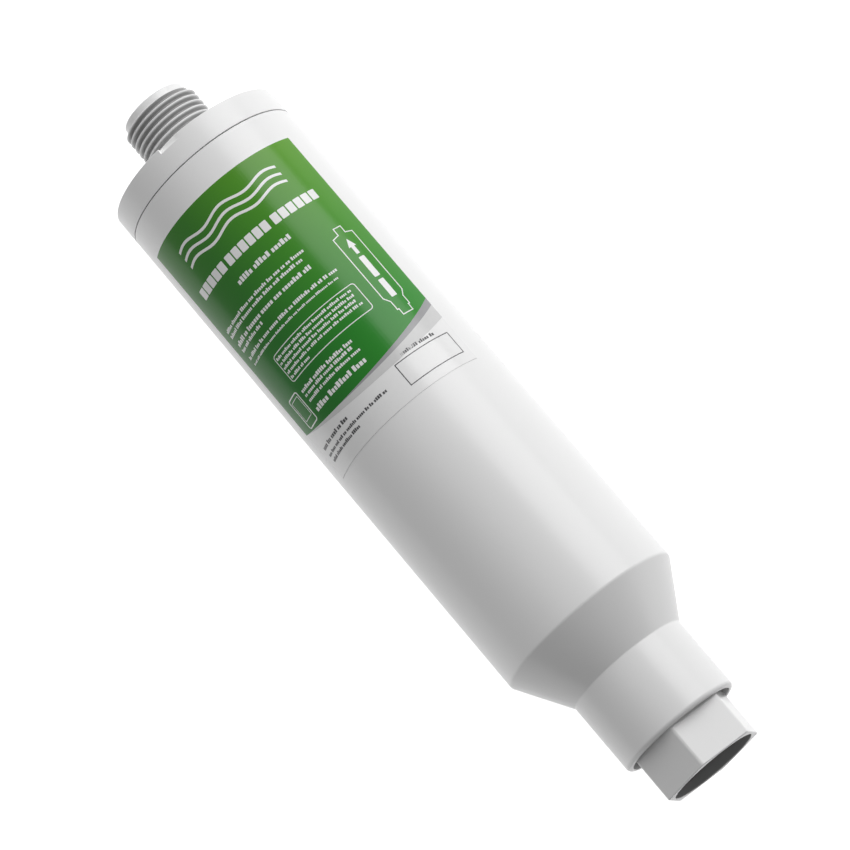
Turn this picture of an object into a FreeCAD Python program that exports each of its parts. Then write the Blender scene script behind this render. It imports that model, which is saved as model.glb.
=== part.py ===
"""Inline water filter with hose-thread ends: a sealed white housing that holds a bed of carbon granules.

The filter lies along X, which is the way the water runs: a swivel nut takes the supply hose at the
inlet, and a threaded spigot feeds the next hose at the outlet. +Z is the labelled front. The origin
is on the axis, on the plane where the supply hose's end seals against the inlet washer.
Millimetres throughout. One STEP file is written for each piece.
"""
import FreeCAD, Part
import math
import os

# ---- hose threads: plain walls at the size over the crests, for the 3/4-11.5 garden hose series
THREAD_CREST_R = 13.5        # outlet spigot, over its crests
THREAD_DEPTH = 1.45          # from crest to root; the neck behind the thread is as thick as the root
THREAD_FIT = 0.12            # radial room between a nut's thread and a spigot's
OUTLET_THREAD = 13.7         # length of thread on the spigot
OUTLET_NECK = 6.1            # plain stretch between the rim and the thread
OUTLET_NOSE = 2.57           # plain nose in front of the thread
NOSE_STEP = 0.38             # how far the nose lies under the roots
SPIGOT_WALL = 2.67           # thickness of the nose

# ---- swivel nut
NUT_LEAD_IN = 4.5            # smooth counterbore in front of the thread
NUT_LEAD_ROOM = 1.48         # radial step from the thread up to the counterbore
NUT_WALL = 1.05              # thinnest wall, between the counterbore and a flat
NUT_THREAD = 10.0            # from the counterbore to the washer
NUT_RELIEF = 0.5             # radial relief behind the thread, where the washer lies
NUT_BACK = 3.75              # wall that pulls on the stem's flange
NUT_EDGE = 1.2               # rounding of the six long edges

# ---- inlet washer
WASHER_THICK = 2.85
WASHER_STEP = 1.7            # how much wider the washer's hole is than the stem's bore, in radius
WASHER_ROOM = 0.9            # radial room between the washer and the nut's relief
LUG_ROOM = 0.2               # the same at the three lugs that hold the washer in the nut
LUG_WIDE = 8.0
LUGS = 3

# ---- swivel stem: goes through the nut and snaps into the housing
STEM_R = 9.3                 # shoulder that the nut turns on, and the shank behind it
STEM_WALL = 3.05
FLANGE_ROOM = 1.22           # radial room between the flange and the nut's relief
FLANGE_THICK = 2.7
WASHER_GAP = 0.05            # between washer and flange, so that the nut turns freely
NUT_FLOAT = 0.15             # axial play of the nut behind the flange
NUT_RUNNING = 0.08           # radial room of the nut on the stem
SOCKET_ROOM = 0.1            # radial room of the stem in the housing's socket
SNAP_RISE = 0.9              # how far the snap fingers' bead stands over the shank
SNAP_LENGTH = 2.6
SNAP_ROOM = 0.1              # between the bead and the end of the socket
FINGERS = 4
FINGER_SLOT = 1.6            # width of the slots between the fingers
FINGER_LENGTH = 8.0
GROOVE_START = 3.2           # O-ring groove, from the start of the socket
GROOVE_WIDE = 2.3
GROOVE_DEEP = 1.55
O_RING_SIDE_ROOM = 0.3       # between the pressed ring and each side of its groove

# ---- housing shell: neck, cone and body in one moulding
BODY_R = 32.0
WALL = 2.6
BODY_LENGTH = 188.3
CONE_LENGTH = 18.0
NECK_LENGTH = 25.9
LIP_WALL = 1.9               # wall of the neck round the nut
LIP_BEVEL = 1.2              # outer edge of the neck's open end
NUT_ROOM = 0.45              # between the nut's corners and the recess that hides its back
RECESS_DEEP = 9.45
NUT_BACK_GAP = 0.7           # between the nut's back and the floor of the recess
BULKHEAD = 3.5
SOCKET_LENGTH = 15.8
SOCKET_WALL = 3.0
LEDGE = 1.0                  # ledge round the bore that the distributor seats on
LEDGE_SETBACK = 0.6          # from the end of the cone's inner wall to the ledge's face
RIBS = 8                     # fins on each plate of the stack, and ribs on the cap's face
RIB_THICK = 2.0
RIB_ROOT = 0.6               # how far a rib runs into the wall that it grows from

# ---- end cap, spin-welded into the body
CAP_LENGTH = 9.42            # from the seam to the rim
CAP_WALL = 2.5               # thickness of the tongue
CAP_TONGUE = 6.5             # from the seam to the tongue's end, which presses on the outlet grid
CAP_END_WALL = 3.0
CAP_DISH = 3.0               # depth of the ribbed dish inside the rim
CAP_RIM = 4.8                # radial width of the rim
COLLAR_STEP = 1.7            # how far the collar round the spigot's foot stands over the crests
CAP_COLLAR = 3.6             # height of the collar over the dish
FACE_RIB_SETBACK = 0.4       # face ribs stop this far under the rim
WELD_ROOM = 0.1              # radial room between the tongue and the bore
SEAM_BEVEL = 0.35            # bevel on both sides of the weld seam
DRIVE_NOTCHES = 4            # ratchet notches on the rim that drive the cap while it is welded
NOTCH_ANGLE = 13.5
NOTCH_LONG = 1.9             # along the axis
NOTCH_DEEP = 1.7             # at the driving wall

# ---- the filter stack, from inlet to outlet
PLATE_THICK = 2.5
PLATE_ROOM = 0.2             # radial room of the plates and screens in the bore
PLATE_BORDER = 1.8           # from the outermost slots to the edge
SLOT_WIDE = 1.8
SLOT_LONG = 7.8
SLOT_GAP = 1.6               # between two rows of slots
SLOT_PITCH = 4.0             # least spacing of the slots along a row
FIN_ROOM = 0.3               # between a plate's fins and the walls that they reach for
DEFLECTOR_R = 8.6
FIN_STEP = 1.0               # from the deflector to the fins and to the innermost slots
DEFLECTOR_HIGH = 7.0
SCREEN_THICK = 0.6
FOAM_THICK = 8.0
FELT_THICK = 4.0
DIVIDER_THICK = 3.0
COPPER_ZINC_BED = 12.0       # length of the first bed; the carbon bed takes what is left
PAD_ROOM = 0.05              # pads and beds fill the bore but for this

# ---- front label
LABEL_LENGTH = 94.2
LABEL_ARC = 122.8            # degrees round the body
LABEL_TO_SEAM = 11.29        # from the label's outlet end to the seam
LABEL_THICK = 0.15

# ---- stations along the axis, worked out from the lengths above
X_MOUTH = -(NUT_LEAD_IN + NUT_THREAD)
X_FLANGE = WASHER_THICK + WASHER_GAP
X_NUT_SEAT = X_FLANGE + FLANGE_THICK + NUT_FLOAT
X_NUT_END = X_NUT_SEAT + NUT_BACK
X_RECESS = X_NUT_END + NUT_BACK_GAP
X_LIP = X_RECESS - RECESS_DEEP
X_BULKHEAD = X_RECESS + BULKHEAD
X_SOCKET_END = X_RECESS + SOCKET_LENGTH
X_STEM_END = X_SOCKET_END + SNAP_ROOM + SNAP_LENGTH
X_NECK_END = X_LIP + NECK_LENGTH
X_CONE_END = X_NECK_END + CONE_LENGTH
X_SEAM = X_CONE_END + BODY_LENGTH
X_RIM = X_SEAM + CAP_LENGTH
X_DISH = X_RIM - CAP_DISH
X_CAP_INSIDE = X_DISH - CAP_END_WALL
X_TONGUE = X_SEAM - CAP_TONGUE
X_THREAD = X_RIM + OUTLET_NECK
X_NOSE = X_THREAD + OUTLET_THREAD
X_TIP = X_NOSE + OUTLET_NOSE

# Radii, worked out outwards from the hose thread
NUT_THREAD_R = THREAD_CREST_R + THREAD_FIT
NUT_RELIEF_R = NUT_THREAD_R + NUT_RELIEF
NUT_LEAD_IN_R = NUT_THREAD_R + NUT_LEAD_ROOM
NUT_CORNER_R = (NUT_LEAD_IN_R + NUT_WALL) * 2 / math.sqrt(3)
RECESS_R = NUT_CORNER_R + NUT_ROOM
NECK_R = RECESS_R + LIP_WALL
FLANGE_R = NUT_RELIEF_R - FLANGE_ROOM
STEM_BORE_R = STEM_R - STEM_WALL
WASHER_HOLE_R = STEM_BORE_R + WASHER_STEP
THREAD_ROOT_R = THREAD_CREST_R - THREAD_DEPTH
OUTLET_NOSE_R = THREAD_ROOT_R - NOSE_STEP
OUTLET_BORE_R = OUTLET_NOSE_R - SPIGOT_WALL
CAP_COLLAR_R = THREAD_CREST_R + COLLAR_STEP
BORE_R = BODY_R - WALL
NECK_BORE_R = NECK_R - WALL
SOCKET_R = STEM_R + SOCKET_ROOM
BOSS_R = SOCKET_R + SOCKET_WALL
TONGUE_R = BORE_R - WELD_ROOM
PLATE_R = BORE_R - PLATE_ROOM
PAD_R = BORE_R - PAD_ROOM
FIN_START_R = DEFLECTOR_R + FIN_STEP

# An even wall round the cone moves its inner corners along the axis by this much.
CONE_ANGLE = math.atan2(BODY_R - NECK_R, CONE_LENGTH)
CONE_SHIFT = WALL * math.tan(CONE_ANGLE / 2)
X_LEDGE = X_CONE_END + CONE_SHIFT + LEDGE_SETBACK

AXIS = FreeCAD.Vector(1, 0, 0)
CENTRE = FreeCAD.Vector(0, 0, 0)
BEYOND = 2.0                 # how far a cutter runs past what it cuts


def turned(*outline, angle=360):
    """Solid turned about the axis from an outline of (station, radius) corners, from +Z round."""
    corners = [FreeCAD.Vector(x, 0, r) for x, r in outline]
    return Part.Face(Part.makePolygon(corners + corners[:1])).revolve(CENTRE, AXIS, angle)


def tube(x_start, x_end, r_inner, r_outer, angle=360):
    """Round bar or tube between two stations."""
    return turned((x_start, r_inner), (x_start, r_outer), (x_end, r_outer), (x_end, r_inner), angle=angle)


def around(shape, count, start=0):
    """Copies of a shape, evenly spaced round the axis."""
    copies = []
    for number in range(count):
        copy = shape.copy()
        copy.rotate(CENTRE, AXIS, start + number * 360 / count)
        copies.append(copy)
    return copies


def circles(shape, *places):
    """The round edges at the given (station, radius) places."""
    found = []
    for edge in shape.Edges:
        if not isinstance(edge.Curve, Part.Circle):
            continue
        for x, r in places:
            if abs(edge.Curve.Center.x - x) < 1e-4 and abs(edge.Curve.Radius - r) < 1e-4:
                found.append(edge)
    return found


def rib(*outline):
    """Flat rib above the axis, from an outline of (station, radius) corners."""
    corners = [FreeCAD.Vector(x, -RIB_THICK / 2, r) for x, r in outline]
    face = Part.Face(Part.makePolygon(corners + corners[:1]))
    return face.extrude(FreeCAD.Vector(0, RIB_THICK, 0))


def cone_inner_x(radius):
    """Station at which the cone's inner wall has this radius."""
    return X_NECK_END + CONE_SHIFT + (radius - NECK_BORE_R) / math.tan(CONE_ANGLE)


def housing_shell():
    """Neck, cone and body, with the nut's recess, the stem's socket and the ledge for the stack."""
    ledge_r = BORE_R - LEDGE
    shell = turned(
        (X_LIP, RECESS_R), (X_LIP, NECK_R), (X_NECK_END, NECK_R), (X_CONE_END, BODY_R),
        (X_SEAM, BODY_R), (X_SEAM, BORE_R), (X_LEDGE, BORE_R), (X_LEDGE, ledge_r),
        (cone_inner_x(ledge_r), ledge_r), (X_NECK_END + CONE_SHIFT, NECK_BORE_R),
        (X_BULKHEAD, NECK_BORE_R), (X_BULKHEAD, BOSS_R), (X_SOCKET_END, BOSS_R),
        (X_SOCKET_END, SOCKET_R), (X_RECESS, SOCKET_R), (X_RECESS, RECESS_R),
    )
    shell = shell.makeChamfer(min(LIP_BEVEL, LIP_WALL * 0.8), circles(shell, (X_LIP, NECK_R)))
    return shell.makeChamfer(SEAM_BEVEL, circles(shell, (X_SEAM, BODY_R)))


def swivel_stem():
    """Flanged tube that the nut turns on, with split snap fingers and a groove for its O-ring."""
    groove_x = X_RECESS + GROOVE_START
    bead_x = X_SOCKET_END + SNAP_ROOM
    stem = turned(
        (X_FLANGE, STEM_BORE_R), (X_FLANGE, FLANGE_R), (X_FLANGE + FLANGE_THICK, FLANGE_R),
        (X_FLANGE + FLANGE_THICK, STEM_R), (groove_x, STEM_R), (groove_x, STEM_R - GROOVE_DEEP),
        (groove_x + GROOVE_WIDE, STEM_R - GROOVE_DEEP), (groove_x + GROOVE_WIDE, STEM_R),
        (bead_x, STEM_R), (bead_x, STEM_R + SNAP_RISE), (bead_x + SNAP_RISE, STEM_R + SNAP_RISE),
        (X_STEM_END, STEM_R - SNAP_RISE / 2), (X_STEM_END, STEM_BORE_R),
    )
    slot = Part.makeBox(
        FINGER_LENGTH + BEYOND, FINGER_SLOT, STEM_R + SNAP_RISE + BEYOND,
        FreeCAD.Vector(X_STEM_END - FINGER_LENGTH, -FINGER_SLOT / 2, 0),
    )
    return stem.cut(around(slot, FINGERS, start=180 / FINGERS))


def stem_o_ring():
    """O-ring, pressed between the floor of its groove and the housing's socket."""
    x_start = X_RECESS + GROOVE_START + O_RING_SIDE_ROOM
    return tube(x_start, x_start + GROOVE_WIDE - 2 * O_RING_SIDE_ROOM, STEM_R - GROOVE_DEEP, SOCKET_R)


def swivel_nut():
    """Hexagonal nut that turns on the stem and draws the hose on to the washer."""
    corners = []
    for number in range(7):
        turn = math.radians(60 * number)
        corners.append(FreeCAD.Vector(X_MOUTH, NUT_CORNER_R * math.sin(turn), NUT_CORNER_R * math.cos(turn)))
    prism = Part.Face(Part.makePolygon(corners)).extrude(FreeCAD.Vector(X_NUT_END - X_MOUTH, 0, 0))
    long_edges = [e for e in prism.Edges if abs(e.Length - (X_NUT_END - X_MOUTH)) < 1e-4]
    prism = prism.makeFillet(NUT_EDGE, long_edges)
    x_thread = X_MOUTH + NUT_LEAD_IN
    hollow = turned(
        (X_MOUTH - BEYOND, 0), (X_MOUTH - BEYOND, NUT_LEAD_IN_R), (x_thread, NUT_LEAD_IN_R),
        (x_thread, NUT_THREAD_R), (0, NUT_THREAD_R), (0, NUT_RELIEF_R),
        (X_NUT_SEAT, NUT_RELIEF_R), (X_NUT_SEAT, STEM_R + NUT_RUNNING),
        (X_NUT_END + BEYOND, STEM_R + NUT_RUNNING), (X_NUT_END + BEYOND, 0),
    )
    return prism.cut(hollow)


def inlet_washer():
    """Rubber hose washer, held in the nut by three lugs that catch behind the thread."""
    washer_r = NUT_RELIEF_R - WASHER_ROOM
    washer = tube(0, WASHER_THICK, WASHER_HOLE_R, washer_r)
    reach = tube(0, WASHER_THICK, washer_r - RIB_ROOT, NUT_RELIEF_R - LUG_ROOM)
    lug = Part.makeBox(WASHER_THICK, LUG_WIDE, NUT_RELIEF_R, FreeCAD.Vector(0, -LUG_WIDE / 2, 0))
    lugs = [reach.common(piece) for piece in around(lug, LUGS)]
    return washer.multiFuse(lugs).removeSplitter()


def end_cap():
    """Cap with the threaded spigot, a ribbed dish, the weld tongue and the drive notches."""
    cap = turned(
        (X_SEAM, TONGUE_R), (X_SEAM, BODY_R), (X_RIM, BODY_R), (X_RIM, BODY_R - CAP_RIM),
        (X_DISH, BODY_R - CAP_RIM), (X_DISH, CAP_COLLAR_R), (X_DISH + CAP_COLLAR, CAP_COLLAR_R),
        (X_DISH + CAP_COLLAR, THREAD_ROOT_R), (X_THREAD, THREAD_ROOT_R), (X_THREAD, THREAD_CREST_R),
        (X_NOSE, THREAD_CREST_R), (X_NOSE, OUTLET_NOSE_R), (X_TIP, OUTLET_NOSE_R),
        (X_TIP, OUTLET_BORE_R), (X_CAP_INSIDE, OUTLET_BORE_R), (X_CAP_INSIDE, TONGUE_R - CAP_WALL),
        (X_TONGUE, TONGUE_R - CAP_WALL), (X_TONGUE, TONGUE_R),
    )
    cap = cap.makeChamfer(SEAM_BEVEL, circles(cap, (X_SEAM, BODY_R)))
    face_rib_x = X_RIM - FACE_RIB_SETBACK
    face_ribs = around(rib(
        (X_DISH - RIB_ROOT, CAP_COLLAR_R - RIB_ROOT), (X_DISH - RIB_ROOT, BODY_R - CAP_RIM + RIB_ROOT),
        (face_rib_x, BODY_R - CAP_RIM + RIB_ROOT), (face_rib_x, CAP_COLLAR_R - RIB_ROOT),
    ), RIBS, start=180 / RIBS)
    cap = cap.multiFuse(face_ribs).removeSplitter()
    return cap.cut(around(drive_notch(), DRIVE_NOTCHES))


def drive_notch():
    """Cutter for one ratchet notch: it ramps down from the rim's surface to a driving wall."""
    half = math.radians(NOTCH_ANGLE / 2)
    outside = BODY_R + BEYOND
    outline = []
    for turn, radius in ((-half, BODY_R), (half, BODY_R - NOTCH_DEEP), (half, outside), (-half, outside)):
        outline.append(FreeCAD.Vector(X_RIM - NOTCH_LONG, radius * math.sin(turn), radius * math.cos(turn)))
    face = Part.Face(Part.makePolygon(outline + outline[:1]))
    return face.extrude(FreeCAD.Vector(NOTCH_LONG + BEYOND, 0, 0))


def slotted_plate(x_start):
    """Moulded disc with rows of narrow radial slots, each row spaced evenly between the fins."""
    plate = tube(x_start, x_start + PLATE_THICK, 0, PLATE_R)
    slots = []
    r_inner = PLATE_R - PLATE_BORDER - SLOT_LONG
    while r_inner > DEFLECTOR_R + FIN_STEP:
        count = RIBS * max(1, int(math.tau * r_inner / RIBS / SLOT_PITCH))
        slot = Part.makeBox(
            PLATE_THICK + 2 * BEYOND, SLOT_WIDE, SLOT_LONG,
            FreeCAD.Vector(x_start - BEYOND, -SLOT_WIDE / 2, r_inner),
        )
        slots += around(slot, count, start=180 / count)
        r_inner -= SLOT_LONG + SLOT_GAP
    return plate.cut(slots)


def inlet_distributor():
    """Slotted plate on the ledge, with a blunt boss that spreads the jet and fins that centre it."""
    deflector = tube(X_LEDGE - DEFLECTOR_HIGH, X_LEDGE + RIB_ROOT, 0, DEFLECTOR_R)
    fin_r = BORE_R - LEDGE - FIN_ROOM
    fin_x = X_STEM_END + FIN_ROOM
    wall_r = NECK_BORE_R - FIN_ROOM
    fins = around(rib(
        (X_LEDGE + RIB_ROOT, FIN_START_R), (X_LEDGE + RIB_ROOT, fin_r),
        (cone_inner_x(fin_r + FIN_ROOM), fin_r), (cone_inner_x(wall_r + FIN_ROOM), wall_r),
        (fin_x, wall_r), (fin_x, BOSS_R), (X_LEDGE - DEFLECTOR_HIGH, FIN_START_R),
    ), RIBS)
    return slotted_plate(X_LEDGE).multiFuse([deflector] + fins).removeSplitter()


def outlet_grid():
    """Slotted plate under the cap's tongue, with fins that stand off from the cap's end wall."""
    fin_r = TONGUE_R - CAP_WALL - FIN_ROOM
    fins = around(rib(
        (X_TONGUE - RIB_ROOT, OUTLET_BORE_R), (X_TONGUE - RIB_ROOT, fin_r),
        (X_CAP_INSIDE, fin_r), (X_CAP_INSIDE, OUTLET_BORE_R + RIB_ROOT),
    ), RIBS)
    return slotted_plate(X_TONGUE - PLATE_THICK).multiFuse(fins).removeSplitter()


def stack_from_inlet():
    """Start and end stations of the layers that stand on the distributor."""
    layers = (
        ("inlet_mesh", SCREEN_THICK), ("inlet_foam", FOAM_THICK), ("inlet_felt", FELT_THICK),
        ("copper_zinc_bed", COPPER_ZINC_BED), ("divider_felt", DIVIDER_THICK),
    )
    spans = {}
    x = X_LEDGE + PLATE_THICK
    for name, thick in layers:
        spans[name] = (x, x + thick)
        x += thick
    return spans


def stack_from_outlet():
    """Start and end stations of the layers between the carbon bed and the outlet grid."""
    x_grid = X_TONGUE - PLATE_THICK
    x_mesh = x_grid - SCREEN_THICK
    return {"outlet_mesh": (x_mesh, x_grid), "outlet_felt": (x_mesh - FELT_THICK, x_mesh)}


def front_label():
    """Printed film on the front of the body, centred on +Z."""
    x_end = X_SEAM - LABEL_TO_SEAM
    film = tube(x_end - LABEL_LENGTH, x_end, BODY_R, BODY_R + LABEL_THICK, LABEL_ARC)
    film.rotate(CENTRE, AXIS, -LABEL_ARC / 2)
    return film


def filter_stack():
    """Every layer between the distributor and the cap, by name."""
    spans = {**stack_from_inlet(), **stack_from_outlet()}
    spans["carbon_bed"] = (spans["divider_felt"][1], spans["outlet_felt"][0])
    layers = {}
    for name, (x_start, x_end) in spans.items():
        radius = PLATE_R if name.endswith("_mesh") else PAD_R
        layers[name] = tube(x_start, x_end, 0, radius)
    return layers


pieces = {
    "housing_shell": housing_shell(),
    "end_cap": end_cap(),
    "front_label": front_label(),
    "swivel_nut": swivel_nut(),
    "inlet_washer": inlet_washer(),
    "swivel_stem": swivel_stem(),
    "stem_o_ring": stem_o_ring(),
    "inlet_distributor": inlet_distributor(),
    "outlet_grid": outlet_grid(),
    **filter_stack(),
}

os.makedirs("parts", exist_ok=True)
for name, shape in pieces.items():
    shape.exportStep(os.path.join("parts", name + ".step"))
    print(f"{name}: {shape.Volume / 1000:.2f} cm3, {len(shape.Solids)} solid")
print(f"length {X_TIP - X_MOUTH:.2f} mm, tip at {X_TIP:.2f}, mouth at {X_MOUTH:.2f}")
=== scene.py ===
"""The looks of an inline water filter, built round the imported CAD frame.

Sizes are in millimetres unless a name says otherwise, and each finished mesh is scaled to metres.
The filter lies along X with its label up, and the water runs from the swivel nut to the spigot.
"""
import math
import random

import bmesh
import bpy
from mathutils import Matrix, Vector


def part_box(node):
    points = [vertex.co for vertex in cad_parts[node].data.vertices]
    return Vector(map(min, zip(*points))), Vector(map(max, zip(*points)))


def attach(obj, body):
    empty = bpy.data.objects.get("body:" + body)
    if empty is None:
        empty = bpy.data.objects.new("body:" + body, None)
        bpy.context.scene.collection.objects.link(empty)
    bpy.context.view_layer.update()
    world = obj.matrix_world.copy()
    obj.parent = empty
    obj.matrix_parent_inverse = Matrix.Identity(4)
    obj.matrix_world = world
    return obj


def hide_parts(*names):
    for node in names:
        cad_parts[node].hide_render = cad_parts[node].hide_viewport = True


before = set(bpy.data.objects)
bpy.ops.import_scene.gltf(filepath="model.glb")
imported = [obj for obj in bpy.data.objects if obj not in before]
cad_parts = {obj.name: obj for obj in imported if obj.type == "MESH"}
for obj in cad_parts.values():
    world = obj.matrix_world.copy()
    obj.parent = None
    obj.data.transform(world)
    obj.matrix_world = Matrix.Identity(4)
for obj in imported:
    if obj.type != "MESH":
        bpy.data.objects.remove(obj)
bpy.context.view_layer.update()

# ---------------------------------------------------------------------------------------------
# The housing shell: neck, cone and body in one gloss white polypropylene moulding. It is turned
# from one outline, because a mould for it has no flat or handed feature anywhere.

MM = 0.001
STEPS_ROUND = 160                # sides of every large turned surface
AXIS = Vector((1, 0, 0))
CENTRE = Vector((0, 0, 0))
HAIR = 1e-4                      # points nearer than this are one point
CREASE = 32                      # degrees; a sharper edge than this isn't smoothed over
FLAT_WEIGHT = 60                 # how much large faces rule the shading of their small neighbours


def low_x(node):
    """Station where a CAD node starts, in mm."""
    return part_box(node)[0][0] / MM


def high_x(node):
    """Station where a CAD node ends, in mm."""
    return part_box(node)[1][0] / MM


def outline_of(bm, corners, closed=True):
    """Wire of (station, radius, rounding) corners above the axis; bevel makes the roundings."""
    verts = [bm.verts.new((x, 0, r)) for x, r, _ in corners]
    for one, other in zip(verts, verts[1:] + verts[:1] if closed else verts[1:]):
        bm.edges.new((one, other))
    rounded = {}
    for vert, (_, _, rounding) in zip(verts, corners):
        if rounding:
            rounded.setdefault(rounding, []).append(vert)
    for rounding, group in rounded.items():
        bmesh.ops.bevel(bm, geom=group, offset=rounding, offset_type="OFFSET", segments=4,
                        profile=0.5, material=-1, affect="VERTICES")
    return bm.verts[:] + bm.edges[:]


def turned(corners, steps=STEPS_ROUND, closed=True):
    """Mesh turned about the axis from an outline."""
    bm = bmesh.new()
    wire = outline_of(bm, corners, closed)
    bmesh.ops.spin(bm, geom=wire, cent=CENTRE, axis=AXIS, angle=math.tau, steps=steps, use_merge=True)
    return bm


def merge_in(bm, other):
    """Adds a second mesh to a first and frees the second."""
    spare = bpy.data.meshes.new("spare")
    other.to_mesh(spare)
    other.free()
    bm.from_mesh(spare)
    bpy.data.meshes.remove(spare)


def finish_mesh(name, bm, material):
    """Object from a closed mesh in mm: merged, facing outwards, in metres, smooth but for creases."""
    bmesh.ops.remove_doubles(bm, verts=bm.verts[:], dist=HAIR)
    bmesh.ops.recalc_face_normals(bm, faces=bm.faces[:])
    bmesh.ops.scale(bm, vec=(MM, MM, MM), verts=bm.verts[:])
    mesh = bpy.data.meshes.new(name)
    bm.to_mesh(mesh)
    bm.free()
    mesh.materials.append(material)
    for polygon in mesh.polygons:
        polygon.use_smooth = True
    mesh.set_sharp_from_angle(angle=math.radians(CREASE))
    piece = bpy.data.objects.new(name, mesh)
    bpy.context.scene.collection.objects.link(piece)
    weights = piece.modifiers.new("face_weights", "WEIGHTED_NORMAL")
    weights.keep_sharp = True
    weights.weight = FLAT_WEIGHT
    return piece


class Nodes:
    """A material's node tree, with short ways to add a node and to join two."""

    def __init__(self, name):
        self.material = bpy.data.materials.get(name) or bpy.data.materials.new(name)
        self.material.use_nodes = True
        self.tree = self.material.node_tree
        self.shader = self.tree.nodes["Principled BSDF"]

    def add(self, kind, inputs=None, **settings):
        node = self.tree.nodes.new(kind)
        for key, value in settings.items():
            setattr(node, key, value)
        for key, value in (inputs or {}).items():
            node.inputs[key].default_value = value
        return node

    def join(self, node, output, other, key):
        self.tree.links.new(node.outputs[output], other.inputs[key])

    def ramp(self, node, output, places, colours, key):
        """Colour ramp of two stops from a node to one of the shader's sockets."""
        ramp = self.add("ShaderNodeValToRGB")
        for stop, place, colour in zip(ramp.color_ramp.elements, places, colours):
            stop.position = place
            stop.color = [*colour, 1]
        self.join(node, output, ramp, "Fac")
        self.join(ramp, "Color", self.shader, key)

    def spread(self, node, output, low, high, key):
        """Value between two limits from a node to one of the shader's sockets."""
        spread = self.add("ShaderNodeMapRange", {"To Min": low, "To Max": high})
        self.join(node, output, spread, "Value")
        self.join(spread, "Result", self.shader, key)

    def relief(self, node, output, strength, depth):
        """Bump from a node, as deep as that many metres."""
        bump = self.add("ShaderNodeBump", {"Strength": strength, "Distance": depth})
        self.join(node, output, bump, "Height")
        self.join(bump, "Normal", self.shader, "Normal")


def moulded_plastic(name, colour, roughness, pebble=0.03, flow=0.02):
    """Moulded plastic: faint flow marks in its colour and gloss, and a very shallow skin."""
    made = Nodes(name)
    made.shader.inputs["IOR"].default_value = 1.49
    place = made.add("ShaderNodeTexCoord")
    stretch = made.add("ShaderNodeMapping", {"Scale": (14.0, 60.0, 60.0)})
    marks = made.add("ShaderNodeTexNoise", {"Scale": 1.0, "Detail": 3.0, "Roughness": 0.45})
    made.join(place, "Object", stretch, "Vector")
    made.join(stretch, "Vector", marks, "Vector")
    made.ramp(marks, "Fac", (0.3, 0.7), ([c * (1 - flow) for c in colour], colour), "Base Color")
    made.spread(marks, "Fac", roughness * 0.88, roughness * 1.12, "Roughness")
    skin = made.add("ShaderNodeTexNoise", {"Scale": 900.0, "Detail": 2.0})
    made.join(place, "Object", skin, "Vector")
    made.relief(skin, "Fac", pebble, 0.0002)
    return made.material


SHELL_WHITE = (0.80, 0.80, 0.80)
NUT_WHITE = (0.78, 0.78, 0.78)
BODY_R = 32.0
NECK_R = 21.0
WALL = 2.6
RECESS_R = 19.1
RECESS_FLOOR = 10.2
SOCKET_R = 9.4
SOCKET_END = 26.0
BOSS_R = 12.4
BULKHEAD = 13.7
NECK_END = 26.65                 # where the neck meets the cone
CONE_END = 44.65                 # where the cone meets the body
CONE_SHIFT = 0.73                # how far an even wall moves the cone's inner corners
CONE_INSIDE_SHORT = 0.9          # the cone's inner wall ends this much before its outer one
LEDGE = 45.98                    # face of the ledge under the distributor
LEDGE_R = 28.4
LIP_ROUND = 1.5                  # outer edge of the neck's open end

x_lip = low_x("housing_shell")
x_seam = high_x("housing_shell")

shell_white = moulded_plastic("shell_white", SHELL_WHITE, roughness=0.3)
shell = finish_mesh("shell_moulding", turned((
    (x_lip, RECESS_R, 0.3), (x_lip, NECK_R, LIP_ROUND), (NECK_END, NECK_R, 0.25), (CONE_END, BODY_R, 0.5),
    (x_seam, BODY_R, 0.15), (x_seam, BODY_R - WALL, 0), (LEDGE, BODY_R - WALL, 0), (LEDGE, LEDGE_R, 0),
    (CONE_END - CONE_INSIDE_SHORT, LEDGE_R, 0.4), (NECK_END + CONE_SHIFT, NECK_R - WALL, 0.4),
    (BULKHEAD, NECK_R - WALL, 0.4), (BULKHEAD, BOSS_R, 0.4), (SOCKET_END, BOSS_R, 0.3),
    (SOCKET_END, SOCKET_R, 0), (RECESS_FLOOR, SOCKET_R, 0.2), (RECESS_FLOOR, RECESS_R, 0.5),
)), shell_white)
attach(shell, "filter_body")
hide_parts("housing_shell")

# ---------------------------------------------------------------------------------------------
# The swivel stem and its O-ring: a flanged tube of natural acetal that goes through the nut and
# snaps into the shell's socket, where a squeezed ring of black nitrile rubber seals it.

STEM_COLOUR = (0.66, 0.66, 0.62)
O_RING_R = 8.6                   # middle of the ring's section
O_RING_HALF = (0.95, 0.84)       # half its length and half its height, once it is squeezed
O_RING_SIDES = 24                # round its section
O_RING_STEPS = 96                # round the axis
UPRIGHT = Matrix.Rotation(math.radians(90), 3, "X")


def rubber(name, colour, roughness):
    """Moulded rubber: matt, with a fine grain and a faint bloom."""
    made = Nodes(name)
    made.shader.inputs["IOR"].default_value = 1.52
    place = made.add("ShaderNodeTexCoord")
    bloom = made.add("ShaderNodeTexNoise", {"Scale": 160.0, "Detail": 4.0, "Roughness": 0.6})
    made.join(place, "Object", bloom, "Vector")
    made.ramp(bloom, "Fac", (0.35, 0.75), (colour, [c * 1.8 + 0.01 for c in colour]), "Base Color")
    made.spread(bloom, "Fac", roughness * 0.85, roughness * 1.15, "Roughness")
    grain = made.add("ShaderNodeTexNoise", {"Scale": 2600.0, "Detail": 3.0})
    made.join(place, "Object", grain, "Vector")
    made.relief(grain, "Fac", 0.25, 0.00008)
    return made.material


def refinish(node, material):
    """Gives a CAD node that keeps its own shape a better material."""
    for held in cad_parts[node].material_slots:
        held.material = material


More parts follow.
